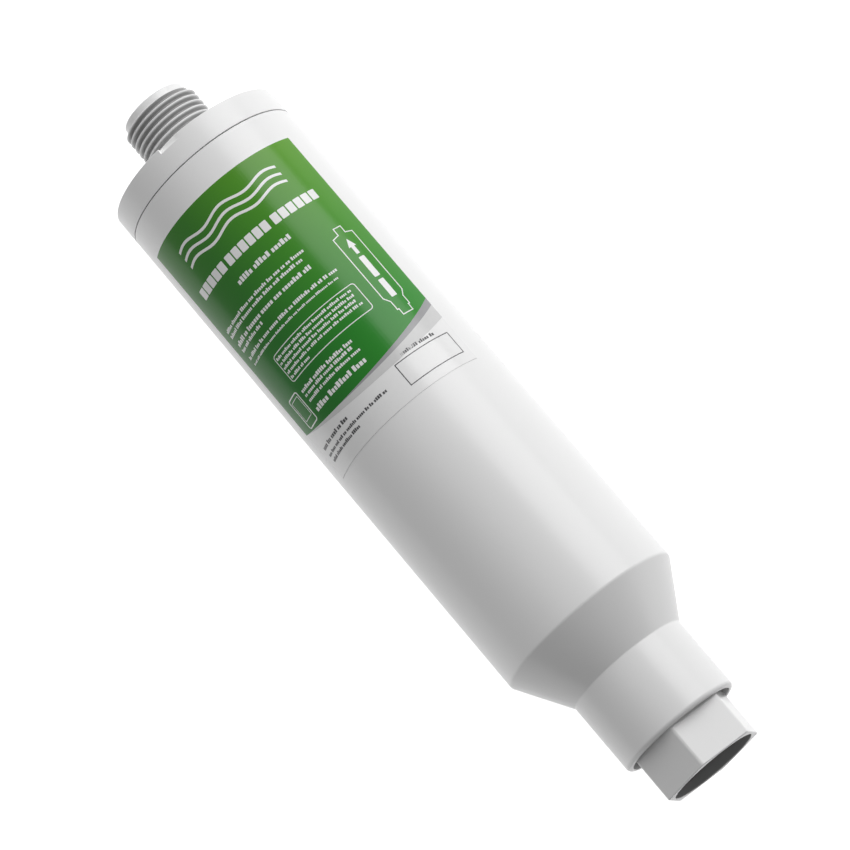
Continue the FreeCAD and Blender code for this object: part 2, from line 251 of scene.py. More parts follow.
refinish("swivel_stem", moulded_plastic("stem_acetal", STEM_COLOUR, roughness=0.33))

ring = bmesh.new()
ring_verts = bmesh.ops.create_circle(ring, cap_ends=False, segments=O_RING_SIDES, radius=1)["verts"]
bmesh.ops.scale(ring, vec=(*O_RING_HALF, 1), verts=ring_verts)
bmesh.ops.rotate(ring, cent=CENTRE, matrix=UPRIGHT, verts=ring_verts)
ring_x = (low_x("stem_o_ring") + high_x("stem_o_ring")) / 2
bmesh.ops.translate(ring, vec=(ring_x, 0, O_RING_R), verts=ring_verts)
bmesh.ops.spin(ring, geom=ring.verts[:] + ring.edges[:], cent=CENTRE, axis=AXIS, angle=math.tau,
               steps=O_RING_STEPS, use_merge=True)
o_ring = finish_mesh("o_ring", ring, rubber("nitrile", (0.018, 0.018, 0.019), roughness=0.5))
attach(o_ring, "filter_body")
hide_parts("stem_o_ring")

# ---------------------------------------------------------------------------------------------
# The swivel nut: a gloss white hexagonal moulding with rounded long edges. It turns on the stem and
# has the hose thread of 11.5 turns to the inch inside, behind a smooth lead-in.

PITCH = 2.209
THREAD_FLAT = 0.26               # width of the flats at crest and root
THREAD_SIDES = 128               # sides to each turn
THREAD_ROUND = 0.07              # rounding of the crests and roots
NUT_FLATS = 32.3                 # across the flats
NUT_EDGE = 1.2                   # radius of the long edges
NUT_END_EDGE = 0.4               # radius of the edges round both ends
NUT_LEAD_IN_R = 15.1
NUT_LEAD_IN = 4.5
NUT_TAPER = 0.9                  # length of the taper from the lead-in to the thread
NUT_THREAD_R = 13.6
NUT_CREST_R = 12.25
NUT_THREAD_END = -0.5            # the thread has faded out here
NUT_ROOT_AT = -4.0               # a root of the thread crosses the top here
NUT_RELIEF_R = 14.12
NUT_SEAT = 5.75                  # face that bears on the stem's flange
NUT_BORE_R = 9.38
JOIN = 0.1                       # gap between a thread and its plain wall, filled by a ring of faces
PAINTED_SHADE = (0, 0, 0)                # painted shade: black mixed into the grooves of a thread to darken them


def screw_thread(x_start, x_end, root_r, crest_r, root_at, fade):
    """Open tube with a right-hand thread, whose ridges fade to the root at both ends."""
    bm = bmesh.new()
    flank = (PITCH - 2 * THREAD_FLAT) / 2
    turns_back = math.ceil((root_at - x_start) / PITCH) + 1
    x = root_at - turns_back * PITCH
    turns = math.ceil((x_end - x) / PITCH) + 1
    outline_of(bm, (
        (x, root_r, 0), (x + THREAD_FLAT / 2, root_r, THREAD_ROUND),
        (x + THREAD_FLAT / 2 + flank, crest_r, THREAD_ROUND),
        (x + THREAD_FLAT * 1.5 + flank, crest_r, THREAD_ROUND),
        (x + PITCH - THREAD_FLAT / 2, root_r, THREAD_ROUND), (x + PITCH, root_r, 0),
    ), closed=False)
    bmesh.ops.spin(bm, geom=bm.verts[:] + bm.edges[:], cent=CENTRE, axis=AXIS, angle=math.tau * turns,
                   steps=THREAD_SIDES * turns, dvec=AXIS * (PITCH / THREAD_SIDES))
    bmesh.ops.remove_doubles(bm, verts=bm.verts[:], dist=1e-3)
    for x_plane, side in ((x_start, -1), (x_end, 1)):
        bmesh.ops.bisect_plane(bm, geom=bm.verts[:] + bm.edges[:] + bm.faces[:], dist=1e-5,
                               plane_co=(x_plane, 0, 0), plane_no=(side, 0, 0), clear_outer=True)
    out = math.copysign(1, crest_r - root_r)
    for vert in bm.verts:
        radius = math.hypot(vert.co.y, vert.co.z)
        room = min(vert.co.x - x_start, x_end - vert.co.x) / fade * abs(crest_r - root_r)
        height = min(abs(radius - root_r), max(room, 0))
        vert.co.yz = vert.co.yz * ((root_r + out * height) / radius)
    return bm


def paint_light_near(material, x_span, radius, full_within, none_beyond, painted_tone, most):
    """Mixes a painted tone into a plastic's colour near a radius, between two stations; it paints shade into
    thread grooves and a painted highlight onto the notch floors.
    """
    made = Nodes(material.name)
    plain = made.shader.inputs["Base Color"].links[0].from_socket
    place = made.tree.nodes["Texture Coordinate"]
    across = made.add("ShaderNodeVectorMath", {1: (0, 1, 1)}, operation="MULTIPLY")
    length = made.add("ShaderNodeVectorMath", operation="LENGTH")
    above = made.add("ShaderNodeMath", {1: radius * MM}, operation="SUBTRACT")
    off = made.add("ShaderNodeMath", operation="ABSOLUTE")
    near = made.add("ShaderNodeMapRange", {"From Min": none_beyond * MM, "From Max": full_within * MM,
                                           "To Max": most})
    axes = made.add("ShaderNodeSeparateXYZ")
    middle, half = (x_span[0] + x_span[1]) / 2, (x_span[1] - x_span[0]) / 2
    there = made.add("ShaderNodeMath", {1: middle * MM, 2: half * MM}, operation="COMPARE")
    both = made.add("ShaderNodeMath", operation="MULTIPLY")
    mixed = made.add("ShaderNodeMix", {"B": [*painted_tone, 1]}, data_type="RGBA")
    made.join(place, "Object", across, 0)
    made.join(across, "Vector", length, 0)
    made.join(length, "Value", above, 0)
    made.join(above, "Value", off, 0)
    made.join(off, "Value", near, "Value")
    made.join(place, "Object", axes, "Vector")
    made.join(axes, "X", there, 0)
    made.join(near, "Result", both, 0)
    made.join(there, "Value", both, 1)
    made.join(both, "Value", mixed, "Factor")
    made.tree.links.new(plain, mixed.inputs["A"])
    made.join(mixed, "Result", made.shader, "Base Color")


def rim_loop(bm, x, r):
    """The open edges that lie round the axis at a station and radius."""
    def there(vert):
        return abs(vert.co.x - x) < 2e-3 and abs(math.hypot(vert.co.y, vert.co.z) - r) < 2e-2
    return [edge for edge in bm.edges if edge.is_boundary and all(there(vert) for vert in edge.verts)]


def bridge(bm, *places):
    """Joins two open loops, given as (station, radius), with a ring of faces."""
    loops = [rim_loop(bm, x, r) for x, r in places]
    bmesh.ops.bridge_loops(bm, edges=loops[0] + loops[1])


def close_end(bm, x):
    """Closes a flat end with a ring of faces between its two open loops."""
    bmesh.ops.remove_doubles(bm, verts=bm.verts[:], dist=HAIR)
    ends = [edge for edge in bm.edges if edge.is_boundary
            and all(abs(vert.co.x - x) < 1e-3 for vert in edge.verts)]
    bmesh.ops.bridge_loops(bm, edges=ends)


def hexagon_wall(long):
    """Open six-sided wall with rounded long edges and rounded ends, from station 0 to its length."""
    bm = bmesh.new()
    flat = NUT_FLATS / 2
    corner = flat / math.cos(math.radians(30))
    verts = bmesh.ops.create_circle(bm, cap_ends=False, segments=6, radius=corner)["verts"]
    bmesh.ops.rotate(bm, cent=CENTRE, matrix=Matrix.Rotation(math.radians(90), 3, "Y"), verts=verts)
    while max(vert.co.z for vert in bm.verts) < corner - 1e-3:        # a corner belongs at the top
        bmesh.ops.rotate(bm, cent=CENTRE, matrix=Matrix.Rotation(math.radians(30), 3, "X"), verts=verts)
    bmesh.ops.bevel(bm, geom=verts, offset=NUT_EDGE * math.tan(math.radians(30)), offset_type="OFFSET",
                    segments=6, profile=0.5, material=-1, affect="VERTICES")
    quarter = [math.radians(turn) for turn in (0, 22.5, 45, 67.5, 90)]
    ends = [(NUT_END_EDGE * (1 - math.sin(turn)), NUT_END_EDGE * (1 - math.cos(turn))) for turn in quarter]
    rings = [(x, inset) for inset, x in ends] + [(long - x, inset) for inset, x in reversed(ends)]
    last_x, last_flat = rings[0][0], flat - rings[0][1]
    edges = bm.edges[:]
    bmesh.ops.scale(bm, vec=(1, last_flat / flat, last_flat / flat), verts=bm.verts[:])
    for x, inset in rings[1:]:
        made = bmesh.ops.extrude_edge_only(bm, edges=edges)["geom"]
        edges = [item for item in made if isinstance(item, bmesh.types.BMEdge)]
        verts = [item for item in made if isinstance(item, bmesh.types.BMVert)]
        grow = (flat - inset) / last_flat
        bmesh.ops.scale(bm, vec=(1, grow, grow), verts=verts)
        bmesh.ops.translate(bm, vec=(x - last_x, 0, 0), verts=verts)
        last_x, last_flat = x, flat - inset
    return bm


x_mouth = low_x("swivel_nut")
x_nut_end = high_x("swivel_nut")
x_taper = x_mouth + NUT_LEAD_IN
x_threads = x_taper + NUT_TAPER

nut = hexagon_wall(x_nut_end - x_mouth)
bmesh.ops.translate(nut, vec=(x_mouth, 0, 0), verts=nut.verts[:])
merge_in(nut, turned((
    (x_mouth, NUT_LEAD_IN_R + 0.3, 0), (x_mouth, NUT_LEAD_IN_R, 0.25), (x_taper, NUT_LEAD_IN_R, 0.2),
    (x_threads - JOIN, NUT_THREAD_R, 0),
), steps=THREAD_SIDES, closed=False))
merge_in(nut, screw_thread(x_threads, NUT_THREAD_END, NUT_THREAD_R, NUT_CREST_R, NUT_ROOT_AT, fade=0.8))
merge_in(nut, turned((
    (NUT_THREAD_END + JOIN, NUT_THREAD_R, 0), (0, NUT_THREAD_R, 0), (0, NUT_RELIEF_R, 0),
    (NUT_SEAT, NUT_RELIEF_R, 0.3), (NUT_SEAT, NUT_BORE_R, 0.2), (x_nut_end, NUT_BORE_R, 0.3),
    (x_nut_end, NUT_BORE_R + 0.5, 0),
), steps=THREAD_SIDES, closed=False))
bridge(nut, (x_threads - JOIN, NUT_THREAD_R), (x_threads, NUT_THREAD_R))
bridge(nut, (NUT_THREAD_END, NUT_THREAD_R), (NUT_THREAD_END + JOIN, NUT_THREAD_R))
close_end(nut, x_mouth)
close_end(nut, x_nut_end)
nut_white = moulded_plastic("nut_white", NUT_WHITE, roughness=0.3)
# painted shade: the lead-in and the thread roots inside the nut are darkened towards black
paint_light_near(nut_white, (x_mouth + 0.3, NUT_SEAT), 14.4, full_within=0.9, none_beyond=1.6, painted_tone=PAINTED_SHADE, most=0.6)
nut_piece = finish_mesh("hose_nut", nut, nut_white)
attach(nut_piece, "inlet_nut")
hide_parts("swivel_nut")

# ---------------------------------------------------------------------------------------------
# The inlet washer: black rubber, cut thick so that it seals by hand. Three lugs on its edge catch
# behind the nut's thread and keep it from falling out.

WASHER_HOLE_R = 7.95
WASHER_R = 13.22
LUG_R = 13.9
LUG_WIDE = 8.0
LUGS = 3
WASHER_STEPS = 180
WASHER_EDGE = 0.5                # only what is this near the washer's edge moves out for a lug

x_washer_back = high_x("inlet_washer")
washer = turned((
    (0, WASHER_HOLE_R, 0.25), (0, WASHER_R, 0.3), (x_washer_back, WASHER_R, 0.3),
    (x_washer_back, WASHER_HOLE_R, 0.25),
), steps=WASHER_STEPS)
for vert in washer.verts:
    radius = math.hypot(vert.co.y, vert.co.z)
    turn = math.atan2(-vert.co.y, vert.co.z) % (math.tau / LUGS)
    off = min(turn, math.tau / LUGS - turn) * radius
    if radius > WASHER_R - WASHER_EDGE and off < LUG_WIDE / 2:
        vert.co.yz = vert.co.yz * (1 + (LUG_R - WASHER_R) / radius)
washer_piece = finish_mesh("hose_washer", washer, rubber("washer_black", (0.02, 0.02, 0.021), roughness=0.6))
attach(washer_piece, "inlet_nut")
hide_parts("inlet_washer")

# ---------------------------------------------------------------------------------------------
# The filter stack: slotted plates of natural polypropylene, stainless screens, foam and felt pads,
# and two beds of granules. It is loaded through the open end of the shell before the cap is welded.

WEAVE = 1300.0                   # scale of the screens' wave of wires, to the metre


def wire_screen(name):
    """Fine woven stainless wire, with painted shade in the gaps between the wires."""
    made = Nodes(name)
    made.shader.inputs["Metallic"].default_value = 1.0
    place = made.add("ShaderNodeTexCoord")
    wires = []
    for direction in ("Y", "Z"):
        wave = made.add("ShaderNodeTexWave", {"Scale": WEAVE}, bands_direction=direction)
        made.join(place, "Object", wave, "Vector")
        wires.append(wave)
    both = made.add("ShaderNodeMath", operation="MAXIMUM")
    made.join(wires[0], "Fac", both, 0)
    made.join(wires[1], "Fac", both, 1)
    # painted shade: the gaps between the wires are coloured nearly black
    made.ramp(both, "Value", (0.2, 0.9), ((0.10, 0.10, 0.11), (0.62, 0.63, 0.64)), "Base Color")
    made.spread(both, "Value", 0.5, 0.28, "Roughness")
    made.relief(both, "Value", 0.8, 0.0001)
    return made.material


def open_foam(name, colour):
    """Open-cell foam, its cells about a millimetre across, with painted shade in the hollow of each cell."""
    made = Nodes(name)
    place = made.add("ShaderNodeTexCoord")
    cells = made.add("ShaderNodeTexVoronoi", {"Scale": 900.0}, feature="DISTANCE_TO_EDGE")
    made.join(place, "Object", cells, "Vector")
    # painted shade: the middle of each cell is darkened to a quarter of the foam's colour
    made.ramp(cells, "Distance", (0.02, 0.35), (colour, [c * 0.25 for c in colour]), "Base Color")
    made.spread(cells, "Distance", 0.8, 0.95, "Roughness")
    made.relief(cells, "Distance", 1.0, -0.0004)
    return made.material


def pressed_felt(name, colour):
    """Pressed polyester fibre: soft, pale and slightly mottled."""
    made = Nodes(name)
    made.shader.inputs["Sheen Weight"].default_value = 0.3
    place = made.add("ShaderNodeTexCoord")
    fibres = made.add("ShaderNodeTexNoise", {"Scale": 1400.0, "Detail": 6.0, "Distortion": 2.5})
    made.join(place, "Object", fibres, "Vector")
    made.ramp(fibres, "Fac", (0.3, 0.7), ([c * 0.8 for c in colour], colour), "Base Color")
    made.spread(fibres, "Fac", 0.85, 1.0, "Roughness")
    made.relief(fibres, "Fac", 0.7, 0.0003)
    return made.material


def granules(name, dark, light, across, metallic, roughness):
    """Bed of crushed granules, each with a shade of its own."""
    made = Nodes(name)
    made.shader.inputs["Metallic"].default_value = metallic
    place = made.add("ShaderNodeTexCoord")
    grains = made.add("ShaderNodeTexVoronoi", {"Scale": 1 / (across * MM), "Randomness": 1.0})
    made.join(place, "Object", grains, "Vector")
    shade = made.add("ShaderNodeSeparateColor")
    made.join(grains, "Color", shade, "Color")
    made.ramp(shade, "Red", (0.1, 0.9), (dark, light), "Base Color")
    made.spread(shade, "Green", roughness * 0.7, roughness * 1.2, "Roughness")
    made.relief(grains, "Distance", 1.0, -0.0004)
    return made.material


plate_plastic = moulded_plastic("plate_natural", (0.62, 0.63, 0.62), roughness=0.4, pebble=0.06)
steel_screen = wire_screen("steel_screen")
white_felt = pressed_felt("white_felt", (0.72, 0.71, 0.68))
refinish("inlet_distributor", plate_plastic)
refinish("outlet_grid", plate_plastic)
refinish("inlet_mesh", steel_screen)
refinish("outlet_mesh", steel_screen)
refinish("inlet_foam", open_foam("grey_foam", (0.30, 0.31, 0.33)))
refinish("inlet_felt", white_felt)
refinish("divider_felt", white_felt)
refinish("outlet_felt", white_felt)
refinish("copper_zinc_bed", granules("copper_zinc", (0.42, 0.25, 0.09), (0.78, 0.56, 0.26), 0.7, 0.9, 0.42))
refinish("carbon_bed", granules("carbon", (0.008, 0.008, 0.009), (0.035, 0.035, 0.036), 1.1, 0.0, 0.5))

# ---------------------------------------------------------------------------------------------
# The end cap: a second gloss white moulding, spun against the body until its tongue welds in the
# bore. Four ratchet notches on its rim drove it round, and its spigot carries the hose thread.

THREAD_CREST_R = 13.45
THREAD_ROOT_R = 12.05
NOSE_R = 11.67
THREAD_FROM_RIM = 6.1
THREAD_LONG = 13.7
OUTLET_BORE_R = 9.0
ROOT_AT_FRONT = 256.14           # a root crosses the front of the spigot here
CAP_RIM = 4.8
CAP_DISH = 3.0
CAP_END_WALL = 3.0
COLLAR_R = 15.2
COLLAR_HIGH = 3.6
TONGUE_R = 29.3
TONGUE_WALL = 2.5
CAP_LONG = 9.42
SEAM_GAP = 0.35                  # shadow line between the cap's rim and the shell
NOTCHES = 4
NOTCH_ANGLE = math.radians(13.5)
NOTCH_LONG = 1.9
NOTCH_DEEP = 1.7
RIM_EDGE = 0.22                  # radius of the rim's outer edge
NOTCH_STEPS = 6
DISH_RIBS = 8
DISH_RIB_THICK = 2.0
DISH_RIB_ROOT = 0.5              # how far a face rib runs into the wall that it grows from
DISH_RIB_LOW = 0.4               # a face rib stops this far under the rim
DISH_RIB_EDGE = 0.25
FOOT_JOIN = 0.3                  # gaps at both ends of the thread, filled by rings of faces
NOSE_JOIN = 0.15
PAINTED_HIGHLIGHT = (1, 1, 1)                # painted highlight: white mixed into the floors of the notches so they read brighter than the rim


def cap_body(corners):
    """Open turned wall of the cap, with the ratchet notches cut in its rim."""
    bm = bmesh.new()
    x_notch = x_rim - NOTCH_LONG
    last = outline_of(bm, corners, closed=False)
    bmesh.ops.rotate(bm, verts=bm.verts[:], cent=CENTRE, matrix=Matrix.Rotation(-NOTCH_ANGLE / 2, 3, "X"))
    plain_steps = round(NOTCH_STEPS * (math.tau / NOTCHES / NOTCH_ANGLE - 1))
    for number in range(NOTCHES):
        before = set(bm.verts)
        start = {item for item in last if isinstance(item, bmesh.types.BMVert)}
        spun = bmesh.ops.spin(bm, geom=last, cent=CENTRE, axis=AXIS, angle=NOTCH_ANGLE, steps=NOTCH_STEPS)
        ramp = (set(bm.verts) - before) | start
        copied = bmesh.ops.duplicate(bm, geom=spun["geom_last"])
        last = [item for item in copied["geom"] if not isinstance(item, bmesh.types.BMFace)]
        middle = number * math.tau / NOTCHES
        for vert in ramp:
            radius = math.hypot(vert.co.y, vert.co.z)
            if vert.co.x < x_notch + HAIR or radius < BODY_R - NOTCH_DEEP:
                continue
            turn = math.atan2(-vert.co.y, vert.co.z) - middle + NOTCH_ANGLE / 2
            share = (turn + math.pi) % math.tau - math.pi
            deep = NOTCH_DEEP * (1 - min(max(share / NOTCH_ANGLE, 0), 1))
            vert.co.yz = vert.co.yz * ((radius - deep) / radius)
        spun = bmesh.ops.spin(bm, geom=last, cent=CENTRE, axis=AXIS,
                              angle=math.tau / NOTCHES - NOTCH_ANGLE, steps=plain_steps)
        last = spun["geom_last"]
        copied = bmesh.ops.duplicate(bm, geom=last)
        last = [item for item in copied["geom"] if not isinstance(item, bmesh.types.BMFace)]
    return bm


def dish_rib(turn):
    """One face rib, its ends sunk in the collar and in the rim."""
    bm = bmesh.new()
    low = (x_dish - DISH_RIB_ROOT, -DISH_RIB_THICK / 2, COLLAR_R - DISH_RIB_ROOT)
    high = (x_rim - DISH_RIB_LOW, DISH_RIB_THICK / 2, BODY_R - CAP_RIM + DISH_RIB_ROOT)
    size = Matrix.Diagonal([b - a for a, b in zip(low, high)] + [1])
    place = Matrix.Translation([(a + b) / 2 for a, b in zip(low, high)])
    bmesh.ops.create_cube(bm, size=1, matrix=turn @ place @ size)
    bmesh.ops.bevel(bm, geom=bm.edges[:], offset=DISH_RIB_EDGE, offset_type="OFFSET", segments=3,
                    profile=0.5, material=-1, affect="EDGES")
    return bm


x_rim = x_seam + CAP_LONG
x_dish = x_rim - CAP_DISH
x_inside = x_dish - CAP_END_WALL
x_thread = x_rim + THREAD_FROM_RIM
x_nose = x_thread + THREAD_LONG
x_tip = high_x("end_cap")
x_tongue = low_x("end_cap")
x_collar = x_dish + COLLAR_HIGH

cap = cap_body((
    (x_thread - FOOT_JOIN, THREAD_ROOT_R, 0), (x_collar, THREAD_ROOT_R, 0.6), (x_collar, COLLAR_R, 0.5),
    (x_dish, COLLAR_R, 0.5), (x_dish, BODY_R - CAP_RIM, 0.5),
    (x_rim, BODY_R - CAP_RIM, 0.3), (x_rim, BODY_R - RIM_EDGE - NOTCH_DEEP, 0), (x_rim, BODY_R, RIM_EDGE),
    (x_rim - NOTCH_LONG + 2 * HAIR, BODY_R, 0), (x_rim - NOTCH_LONG, BODY_R, 0),
    (x_seam + SEAM_GAP, BODY_R, 0.15), (x_seam + SEAM_GAP, TONGUE_R, 0),
    (x_tongue, TONGUE_R, 0.4), (x_tongue, TONGUE_R - TONGUE_WALL, 0.4),
    (x_inside, TONGUE_R - TONGUE_WALL, 0.8), (x_inside, OUTLET_BORE_R, 0.5), (x_tip, OUTLET_BORE_R, 0.4),
    (x_tip, NOSE_R, 0.5), (x_nose + NOSE_JOIN, NOSE_R, 0),
))
merge_in(cap, screw_thread(x_thread, x_nose, THREAD_ROOT_R, THREAD_CREST_R, ROOT_AT_FRONT, fade=0.9))
bmesh.ops.remove_doubles(cap, verts=cap.verts[:], dist=HAIR * 5)
bridge(cap, (x_thread - FOOT_JOIN, THREAD_ROOT_R), (x_thread, THREAD_ROOT_R))
bridge(cap, (x_nose, THREAD_ROOT_R), (x_nose + NOSE_JOIN, NOSE_R))
bmesh.ops.holes_fill(cap, edges=[edge for edge in cap.edges if edge.is_boundary], sides=0)
for number in range(DISH_RIBS):
    turn = Matrix.Rotation((number + 0.5) * math.tau / DISH_RIBS, 4, "X")
    merge_in(cap, dish_rib(turn))
cap_white = moulded_plastic("cap_white", SHELL_WHITE, roughness=0.3)
# painted shade: the grooves of the spigot's thread are darkened towards black
paint_light_near(cap_white, (x_thread, x_nose - 0.5), 12.3, full_within=0.55, none_beyond=1.0, painted_tone=PAINTED_SHADE, most=0.6)
# painted highlight: the floors of the ratchet notches are whitened
paint_light_near(cap_white, (x_rim - NOTCH_LONG, x_rim - 0.05), BODY_R - 0.9, full_within=0.6, none_beyond=0.85,
          painted_tone=PAINTED_HIGHLIGHT, most=0.95)
cap_piece = finish_mesh("cap_moulding", cap, cap_white)
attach(cap_piece, "filter_body")
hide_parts("end_cap")

# ---------------------------------------------------------------------------------------------
# The front label: a gloss white film, stuck on and printed with a green field. Its print is plain
# dashes, waves and outlines, each a skin of ink on the film.

FILM_THICK = 0.15
INK_THICK = 0.03
ARC_STEP = 1.2                   # the film is cut this often round the body, to bend
FILM_HALF = BODY_R * math.radians(122.8 / 2)
GREEN_EDGE = ((34.2, 152.7), (-10.7, 142.2), (-34.4, 145.6))   # (arc, station) points of its curve
GREY_EDGE = ((34.2, 144.6), (-10.7, 140.2), (-34.4, 145.6))
GREEN_LIME = (0.092, 0.300, 0.010)    # at the cap's end of the label
GREEN_SEA = (0.020, 0.245, 0.015)
GREEN_LIME_DARK = (0.030, 0.185, 0.010)
GREEN_SEA_DARK = (0.006, 0.160, 0.010)
DARK_WIDE = 2.8                  # width of the dark stripe at its wide end
DARK_FROM = -13.0                # arc where it has run out
LINES_WHITE = (                  # station, height, and arc from and to, of each line of dashes
    (186.6, 1.2, -30.2, 11.8), (184.5, 1.2, -30.2, 9.2), (181.0, 1.6, -29.8, 9.5),
    (178.7, 1.2, -30.2, -14.0), (175.3, 1.2, -29.8, 15.3), (172.8, 0.8, -29.8, 14.5),
    (167.1, 1.0, -19.7, 14.2), (165.3, 1.0, -19.7, 14.2), (163.5, 1.0, -19.7, 13.0),
    (161.7, 1.0, -19.7, 14.2), (159.8, 1.0, -19.7, -9.0), (154.3, 1.3, -20.25, 4.5),
    (152.5, 1.1, -20.25, 2.7), (150.5, 1.1, -20.25, 4.3), (146.9, 1.9, -20.25, 3.5),
)
LINES_DARK = ((137.8, 1.4, -30.7, -11.5), (135.0, 1.1, -30.7, 2.25), (132.9, 1.1, -30.7, -11.7))
LINE_MODEL = (192.9, 1.9, -11.9, 10.6)
LINE_DATE = (141.05, 1.2, 12.7, 27.2)
WAVES = (208.4, 211.4, 214.4)    # stations of the waves
WAVE_THICK = 0.95
WAVE_SWING = 0.85
WAVE_ARC = (-22.3, 21.8)
WAVE_CRESTS = 2.5
TITLE_X = (198.4, 202.0)
TITLE = ((-27.3, -11.5, 5), (-10.2, 7.7, 6), (9.3, 27.2, 6))    # arc from and to, and blocks in it
TITLE_GAP = 0.5
BOXES = (                        # stations, arcs, corner and line of the notice, telephone and screen
    ((158.1, 168.75), (-20.5, 16.2), 1.2, 0.3), ((144.75, 156.25), (-29.0, -22.3), 1.0, 0.4),
    ((147.4, 154.9), (-28.1, -23.2), 0.3, 0.2),
)
DATE_BOX = ((131.0, 139.4), (8.9, 31.25))
FLOW = ((186.9, 1.67), (184.3, 1.67), (183.75, 4.25), (158.75, 4.25), (156.7, 2.8), (153.3, 2.8),
        (153.3, 2.2), (151.0, 2.2))       # half outline of the small filter, as (station, arc)
FLOW_ARC = 24.42
FLOW_LINE = 0.35
FLOW_WORDS = ((166.25, 174.6), (157.9, 165.0))
FLOW_WORD_HALF = 1.1
ARROW = ((181.9, 0), (178.75, 1.5), (178.75, 0.67), (175.8, 0.67))


def block(bm, x, arc, corner=0.0):
    """Flat rectangle between two stations and two arcs, with rounded corners; gives its face."""
    place = Matrix.Translation(((x[0] + x[1]) / 2, (arc[0] + arc[1]) / 2, 0))
    size = Matrix.Diagonal((x[1] - x[0], arc[1] - arc[0], 1, 1))
    before = set(bm.faces)
    verts = bmesh.ops.create_grid(bm, x_segments=1, y_segments=1, size=0.5, matrix=place @ size)["verts"]
    if corner:
        bmesh.ops.bevel(bm, geom=verts, offset=corner, offset_type="OFFSET", segments=4, profile=0.5,
                        material=-1, affect="VERTICES")
    return [face for face in bm.faces if face not in before]


def flat_shape(bm, points):
    """Flat shape from its corners; gives its face."""
    face = bm.faces.new([bm.verts.new((x, arc, 0)) for x, arc in points])
    face.normal_update()
    return [face]


def hollow(bm, faces, line):
    """Leaves only an outline of a flat shape."""
    bmesh.ops.inset_region(bm, faces=faces, thickness=line, use_even_offset=True, use_boundary=True)
    bmesh.ops.delete(bm, geom=faces, context="FACES")


def mirrored(half, arc):
    """Whole outline of a shape that is even about an arc, from one half of it."""
    return [(x, arc + off) for x, off in half] + [(x, arc - off) for x, off in reversed(half) if off]


def strip(bm, low, high, arc, steps=48):
    """Flat strip along the arc between two curves that give the station at each arc."""
    verts = bmesh.ops.create_grid(bm, x_segments=1, y_segments=steps, size=0.5)["verts"]
    for vert in verts:
        at = arc[0] + (vert.co.y + 0.5) * (arc[1] - arc[0])       # the grid runs from -0.5 to 0.5
        vert.co = ((high if vert.co.x > 0 else low)(at), at, 0)


def through(points):
    """Smooth curve that gives the station at an arc, through three points."""
    def curve(at):
        total = 0
        for here, x in points:
            for other, _ in points:
                if other != here:
                    x *= (at - other) / (here - other)
            total += x
        return total
    return curve


def dashes(bm, x, tall, arc_from, arc_to):
    """Line of plain upright dashes, each as wide as about half its height, grouped as words are."""
    start = arc_from
    while start < arc_to - tall:
        for _ in range(draw.randint(2, 8)):
            wide = tall * draw.uniform(0.42, 0.62)
            if start + wide > arc_to:
                return
            reach = tall * draw.choice((0.72, 0.72, 1.0))
            block(bm, (x - tall / 2, x - tall / 2 + reach), (start, start + wide))
            start += wide + tall * 0.17
        start += tall * 0.4


def wave(bm, x):
    """Wavy stripe across the label."""
    def middle(at):
        share = (at - WAVE_ARC[0]) / (WAVE_ARC[1] - WAVE_ARC[0])
        return x + WAVE_SWING * math.sin(share * math.tau * WAVE_CRESTS)
    half = WAVE_THICK / 2
    strip(bm, lambda at: middle(at) - half, lambda at: middle(at) + half, WAVE_ARC, steps=90)


def bend(bm, low, thick):
    """Gives flat shapes their thickness and bends them round the body, at a height over it."""
    arcs = [vert.co.y for vert in bm.verts]
    for number in range(math.ceil(min(arcs) / ARC_STEP), math.ceil(max(arcs) / ARC_STEP)):
        bmesh.ops.bisect_plane(bm, geom=bm.verts[:] + bm.edges[:] + bm.faces[:], dist=1e-4,
                               plane_co=(0, number * ARC_STEP, 0), plane_no=(0, 1, 0))
    bmesh.ops.solidify(bm, geom=bm.faces[:], thickness=thick)
    bottom = min(vert.co.z for vert in bm.verts)
    for vert in bm.verts:
        radius = BODY_R + low + vert.co.z - bottom
        turn = vert.co.y / BODY_R
        vert.co = (vert.co.x, -radius * math.sin(turn), radius * math.cos(turn))
    return bm


def printed(name, colours, roughness, ior=1.5):
    """Gloss print or film with a fine grain in its colour."""
    made = Nodes(name)
    made.shader.inputs["IOR"].default_value = ior
    place = made.add("ShaderNodeTexCoord")
    grain = made.add("ShaderNodeTexNoise", {"Scale": 700.0, "Detail": 3.0})
    made.join(place, "Object", grain, "Vector")
    made.ramp(grain, "Fac", (0.3, 0.7), colours, "Base Color")
    made.spread(grain, "Fac", roughness * 0.85, roughness * 1.15, "Roughness")
    made.relief(grain, "Fac", 0.04, 0.0001)
    return made.material


def blended_green():
    """Green ink that runs from lime at the cap to sea green, and darker away from the flow mark."""
    made = Nodes(printed("green_ink", (GREEN_LIME, GREEN_LIME), roughness=0.22, ior=1.38).name)
    axes = made.add("ShaderNodeSeparateXYZ")
    made.join(made.tree.nodes["Texture Coordinate"], "Object", axes, "Vector")
    rows = [made.add("ShaderNodeMix", {"A": [*far, 1], "B": [*near, 1]}, data_type="RGBA")
            for far, near in ((GREEN_SEA, GREEN_LIME), (GREEN_SEA_DARK, GREEN_LIME_DARK))]
    both = made.add("ShaderNodeMix", data_type="RGBA")
    for axis, low, high, mixes in (("X", 157, 221, rows), ("Y", -26, 13, [both])):
        share = made.add("ShaderNodeMapRange", {"From Min": low * MM, "From Max": high * MM})
        made.join(axes, axis, share, "Value")
        for mix in mixes:
            made.join(share, "Result", mix, "Factor")
    made.join(rows[0], "Result", both, "A")
    made.join(rows[1], "Result", both, "B")
    made.join(both, "Result", made.shader, "Base Color")
    return made.material


